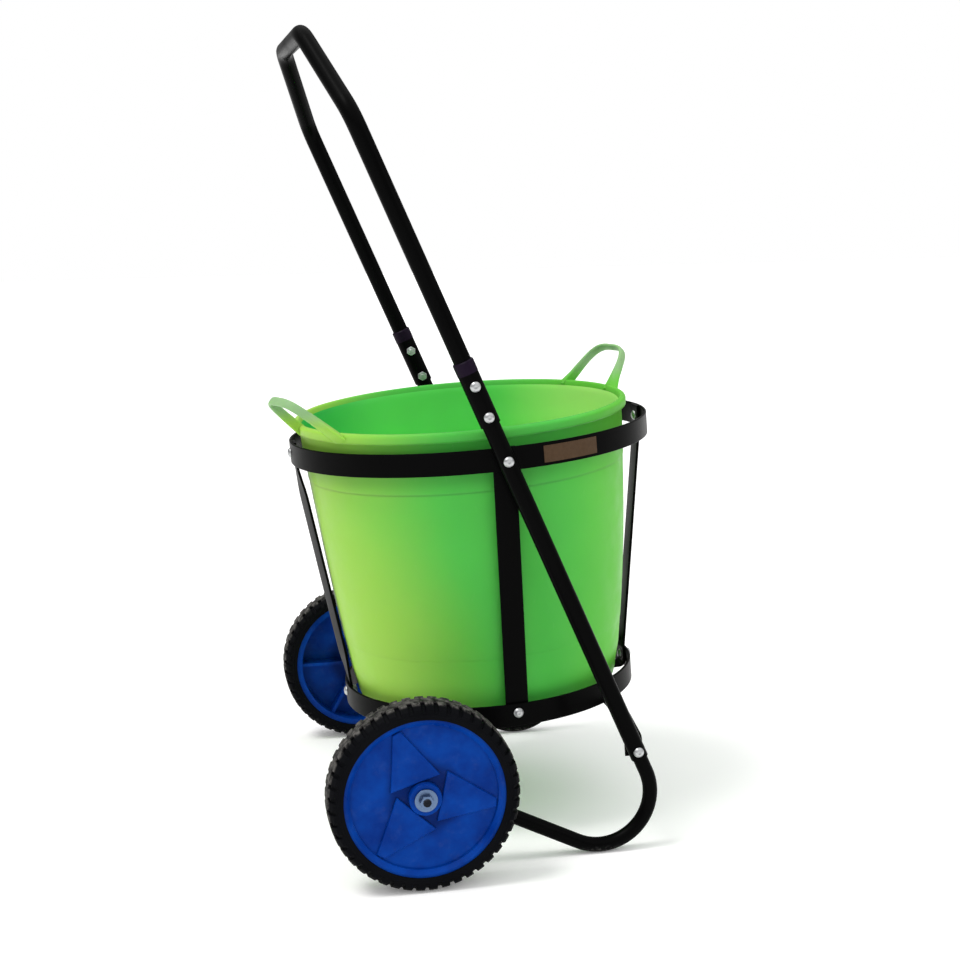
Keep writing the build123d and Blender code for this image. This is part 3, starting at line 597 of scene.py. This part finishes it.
# ---- tyres ----------------------------------------------------------------------------------
TREAD_GROOVES = 46
GROOVE_HALF = 0.0020
GROOVE_EDGE = 0.0007
GROOVE_DEPTH = 0.0032
PLAIN_RIB = 0.0060        # half width of the plain band round the middle
SHOULDER_DROP = 0.0050
SHOULDER_W = 0.0075
RIM_SEAT = 0.016          # height of the rubber over the rim


def tyre_profile(radius, half):
    """Right half outwards and back along the left, as (radius, sideways), closed."""
    side = [
        (radius - RIM_SEAT, half - 0.0004, 0.0007),
        (radius - 0.0125, half - 0.0004, 0.0004),
        (radius - 0.0118, half, 0.0004),
        (radius - 0.0102, half, 0.0004),
        (radius - 0.0095, half - 0.0005, 0.0004),
        (radius - SHOULDER_DROP - 0.0002, half, 0.0012),
        (radius - 0.0001, half - SHOULDER_W, 0.0018),
    ]
    rib = [(radius, PLAIN_RIB + 0.0007, 0), (radius, PLAIN_RIB, 0)]
    right = side + rib
    left = [(r, -y, cut) for r, y, cut in reversed(right)]
    seat = (radius - RIM_SEAT, 0, 0)
    return rounded([seat] + right + left + [seat], 3)[:-1]


def make_tyre(node, body, material):
    low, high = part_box(node)
    middle = (low + high) / 2
    radius = (high.z - low.z) / 2
    half = (high.y - low.y) / 2
    pitch = 2 * math.pi / TREAD_GROOVES
    cut, edge = GROOVE_HALF / radius, (GROOVE_HALF + GROOVE_EDGE) / radius
    steps = (0, cut, edge, pitch / 4, pitch / 2 - edge, pitch / 2 - cut, pitch / 2,
             pitch / 2 + cut, pitch / 2 + edge, 3 * pitch / 4, pitch - edge, pitch - cut)
    turns = [i * pitch + step for i in range(TREAD_GROOVES) for step in steps]

    def place(p, turn):
        side = 1 if p.y > 0 else -1
        phase = (turn / pitch + (0 if side > 0 else 0.5) + 0.5) % 1 - 0.5
        from_groove = abs(phase) * pitch * radius
        deep = 1 - min(1, max(0, (from_groove - GROOVE_HALF) / GROOVE_EDGE))
        outer = min(1, max(0, (abs(p.y) - PLAIN_RIB) / 0.0006))
        near_tread = min(1, max(0, (p.x - (radius - 0.0092)) / 0.003))
        r = p.x - deep * outer * near_tread * GROOVE_DEPTH
        return Vector((middle.x + r * math.cos(turn), middle.y + p.y, middle.z + r * math.sin(turn)))

    points, faces = turned(tyre_profile(radius, half), turns, place, closed=True)
    tyre = new_piece(node + "_rubber", points, faces, material, 32)
    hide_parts(node)
    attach(tyre, body)


tyre_low, tyre_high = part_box("tyre_right")
axle_middle = (tyre_low + tyre_high) / 2
rubber = tyre_rubber(axle_middle.x, axle_middle.z, (tyre_high.z - tyre_low.z) / 2)
make_tyre("tyre_right", "wheel_right", rubber)
make_tyre("tyre_left", "wheel_left", rubber)

# ---- bolts, nuts and washers ----------------------------------------------------------------
DIRECTIONS = (Vector((0, 1, 0)), tub_fore, tub_up)
HEAD_R = 0.0056
SHANK_R = 0.003           # M6 bolts and nuts
NUT_FLATS = 0.005         # half the width across a nut's flats
AXLE_BORE = 0.004
AXLE_NUT_FLATS = 0.0065


def solids_in(node):
    """Corner points of each separate solid of a CAD node."""
    mesh = nodes[node].data
    found = {}
    keys = [tuple(round(c * 1e6) for c in v.co) for v in mesh.vertices]

    def root(key):
        while found.setdefault(key, key) != key:
            key = found[key]
        return key

    for polygon in mesh.polygons:
        first = root(keys[polygon.vertices[0]])
        for v in polygon.vertices[1:]:
            found[root(keys[v])] = first
    groups = {}
    for key in set(keys):
        groups.setdefault(root(key), []).append(Vector(key) * 1e-6)
    return [groups[key] for key in sorted(groups)]


def extent(points, direction):
    along = [p.dot(direction) for p in points]
    return min(along), max(along)


def odd_axis(points):
    """The one of the three directions along which a solid's size differs most from the other two."""
    sizes = [high - low for low, high in (extent(points, d) for d in DIRECTIONS)]
    spread = [abs(2 * s - (sum(sizes) - s)) for s in sizes]
    return DIRECTIONS[spread.index(max(spread))]


def axis_frame(points, axis):
    """A point on the solid's axis, level with the origin along it, and two directions across."""
    side = axis.orthogonal().normalized()
    other = axis.cross(side)
    centre = sum((d * sum(extent(points, d)) / 2 for d in (side, other)), Vector((0, 0, 0)))
    return centre, side, other


def spun(heap, profile, centre, axis, side, other, turns=32, shape=None):
    """Turn a profile of (radius, height) about an axis; shape may change a point by its turn."""
    def place(p, turn):
        r, h = shape(p, turn) if shape else (p.x, p.y)
        return centre + axis * h + (side * math.cos(turn) + other * math.sin(turn)) * r

    heap.add(*turned(profile, even_turns(turns), place, closed=profile[0].x > 1e-7))


def add_bolt(heap, points):
    """Low domed head with a round socket, and a shank with a chamfered end."""
    axis = odd_axis(points)
    centre, side, other = axis_frame(points, axis)
    low, high = extent(points, axis)
    widest = max(points, key=lambda p: ((p - centre) - axis * (p - centre).dot(axis)).length)
    seat = widest.dot(axis)
    if seat - low < high - seat:
        axis, seat, low, high = -axis, -seat, -high, -low
    head, shank, r = high - seat, low - seat, SHANK_R
    origin = centre + axis * seat
    profile = rounded([
        (0, shank, 0), (r - 0.0006, shank, 0), (r, shank + 0.0006, 0), (r, 0, 0),
        (HEAD_R, 0, 0.0003), (HEAD_R, 0.0008, 0.0006), (0.0034, head, 0.0018),
        (0.0021, head, 0.0002), (0.0019, head - 0.0012, 0.0001), (0, head - 0.0014, 0),
    ], 4)
    spun(heap, profile, origin, axis, side, other)


def add_nut(heap, points, bore, flats):
    """Hexagon nut, its corners chamfered at both faces."""
    sizes = [(high - low, i) for i, (low, high) in enumerate(extent(points, d) for d in DIRECTIONS)]
    axis = DIRECTIONS[min(sizes)[1]]
    centre, side, other = axis_frame(points, axis)
    low, high = extent(points, axis)
    corner = max(points, key=lambda p: ((p - centre) - axis * (p - centre).dot(axis)).length)
    side = ((corner - centre) - axis * (corner - centre).dot(axis)).normalized()
    other = axis.cross(side)
    thick = high - low

    def hexagon(p, turn):
        if p.x < flats - 1e-5:
            return p.x, p.y
        reach = flats / math.cos((turn % (math.pi / 3)) - math.pi / 6)
        slope = max(0.0, reach - flats * 1.01) * 0.6
        return reach, p.y - slope if p.y > thick / 2 else p.y + slope

    profile = [Vector(p) for p in (
        (bore + 0.0004, 0), (flats * 0.96, 0), (flats, 0.0002), (flats, thick - 0.0002),
        (flats * 0.96, thick), (bore + 0.0004, thick), (bore, thick - 0.0004), (bore, 0.0004),
    )]
    spun(heap, profile, centre + axis * low, axis, side, other, 72, hexagon)


def add_washer(heap, points, bore):
    axis = DIRECTIONS[0]
    centre, side, other = axis_frame(points, axis)
    low, high = extent(points, axis)
    width = extent(points, side)
    r = (width[1] - width[0]) / 2
    soft = 0.0005
    profile = rounded([
        (bore, (high - low) / 2, 0), (bore, 0, soft), (r, 0, soft), (r, high - low, soft),
        (bore, high - low, soft), (bore, (high - low) / 2, 0),
    ], 3)[:-1]
    spun(heap, profile, centre + axis * low, axis, side, other, 64)


def replace_small(node, add, material, *sizes):
    heap = Heap()
    for points in solids_in(node):
        add(heap, points, *sizes)
    piece = new_piece(node + "_shaped", heap.points, heap.faces, material, 30)
    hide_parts(node)
    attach(piece, "frame")


zinc = zinc_plate("zinc_plate", (0.40, 0.41, 0.42), (0.60, 0.61, 0.61))
# the axle nuts and washers get a darker, bluer zinc
dark_bluish_zinc = zinc_plate("dark_bluish_zinc", (0.07, 0.11, 0.20), (0.19, 0.27, 0.42))
for node in ("hoop_side_bolts", "basket_bolts", "joint_bolts", "knee_bolts"):
    replace_small(node, add_bolt, zinc)
replace_small("nuts", add_nut, zinc, SHANK_R, NUT_FLATS)
replace_small("axle_nuts", add_nut, dark_bluish_zinc, AXLE_BORE, AXLE_NUT_FLATS)
replace_small("axle_washers", add_washer, dark_bluish_zinc, AXLE_BORE)

# ---- materials of the CAD pieces that stay --------------------------------------------------
FACE_OUT = 0.011          # the wheel's face lies this far outside its middle plane
axle_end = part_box("axle")[1].y
wheel_face = (tyre_low.y + tyre_high.y) / 2
by_slot = {
    "frame_black": powder_coat(),
    "ferrule_plastic": ferrule_plastic(),
    "axle_steel": drawn_steel(axle_end),
    "label": blank_label(),
    "wheel_blue": blue_plastic(axle_middle.x, axle_middle.z, abs(wheel_face) + FACE_OUT),
}
for part in record["subparts"]:
    if part["material_slot"] in by_slot:
        for slot in nodes[part["node"]].material_slots:
            slot.material = by_slot[part["material_slot"]]

# ---- strap: its rear leg is a little twisted between its two bolts --------------------------
BAND_H = 0.025            # width of the flat strip
STRAP_TWIST = 12.0        # degrees about the leg's own middle line
TWIST_LEVELS = 28         # heights at which the leg is divided, so that it can twist
TWIST_EASE = 0.16         # share of the leg, at each end, over which the twist comes on


def make_twisted_strap(node, material):
    """Divide the rear leg at even levels, and turn each level's outline about the leg's middle line."""
    form = bmesh.new()
    form.from_mesh(nodes[node].data)
    bmesh.ops.remove_doubles(form, verts=form.verts[:], dist=1e-6)
    leg_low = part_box("bottom_ring")[0].z + BAND_H
    leg_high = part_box("top_hoop")[0].z
    rear_limit = TUB_MIDDLE.x - TUB_BASE_R * 0.7
    levels = []
    for i in range(1, TWIST_LEVELS):
        share = i / TWIST_LEVELS
        level = leg_low + (leg_high - leg_low) * share
        rear = [f for f in form.faces if f.calc_center_median().x < rear_limit]
        edges = list(dict.fromkeys(e for f in rear for e in f.edges))
        corners = list(dict.fromkeys(v for f in rear for v in f.verts))
        cut = bmesh.ops.bisect_plane(
            form, geom=rear + edges + corners, dist=1e-7, plane_co=(0, 0, level), plane_no=(0, 0, 1))
        ring = [v for v in cut["geom_cut"] if isinstance(v, bmesh.types.BMVert)]
        across = [v.co.x for v in ring]
        levels.append((share, Vector(((min(across) + max(across)) / 2, 0, level)), ring))
    leg_axis = (levels[-1][1] - levels[0][1]).normalized()
    for share, middle, ring in levels:
        ease = min(1.0, share / TWIST_EASE, (1 - share) / TWIST_EASE)
        turn = math.radians(STRAP_TWIST) * ease * ease * (3 - 2 * ease)
        twist = Matrix.Rotation(turn, 3, leg_axis)
        for v in ring:
            v.co = middle + twist @ (v.co - middle)
    form.verts.index_update()
    points = [v.co.copy() for v in form.verts]
    faces = [[v.index for v in f.verts] for f in form.faces]
    form.free()
    strap = new_piece(node + "_twisted", points, faces, material, 30)
    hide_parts(node)
    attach(strap, "frame")


make_twisted_strap("strap_fore_aft", by_slot["frame_black"])

# ---- floor ----------------------------------------------------------------------------------
FLOOR_HALF = 14.0
corners = [(x, y, cad_low.z) for x, y in ((-1, -1), (1, -1), (1, 1), (-1, 1))]
floor = new_piece("floor", [(x * FLOOR_HALF, y * FLOOR_HALF, z) for x, y, z in corners], [[0, 1, 2, 3]],
                  floor_paint())
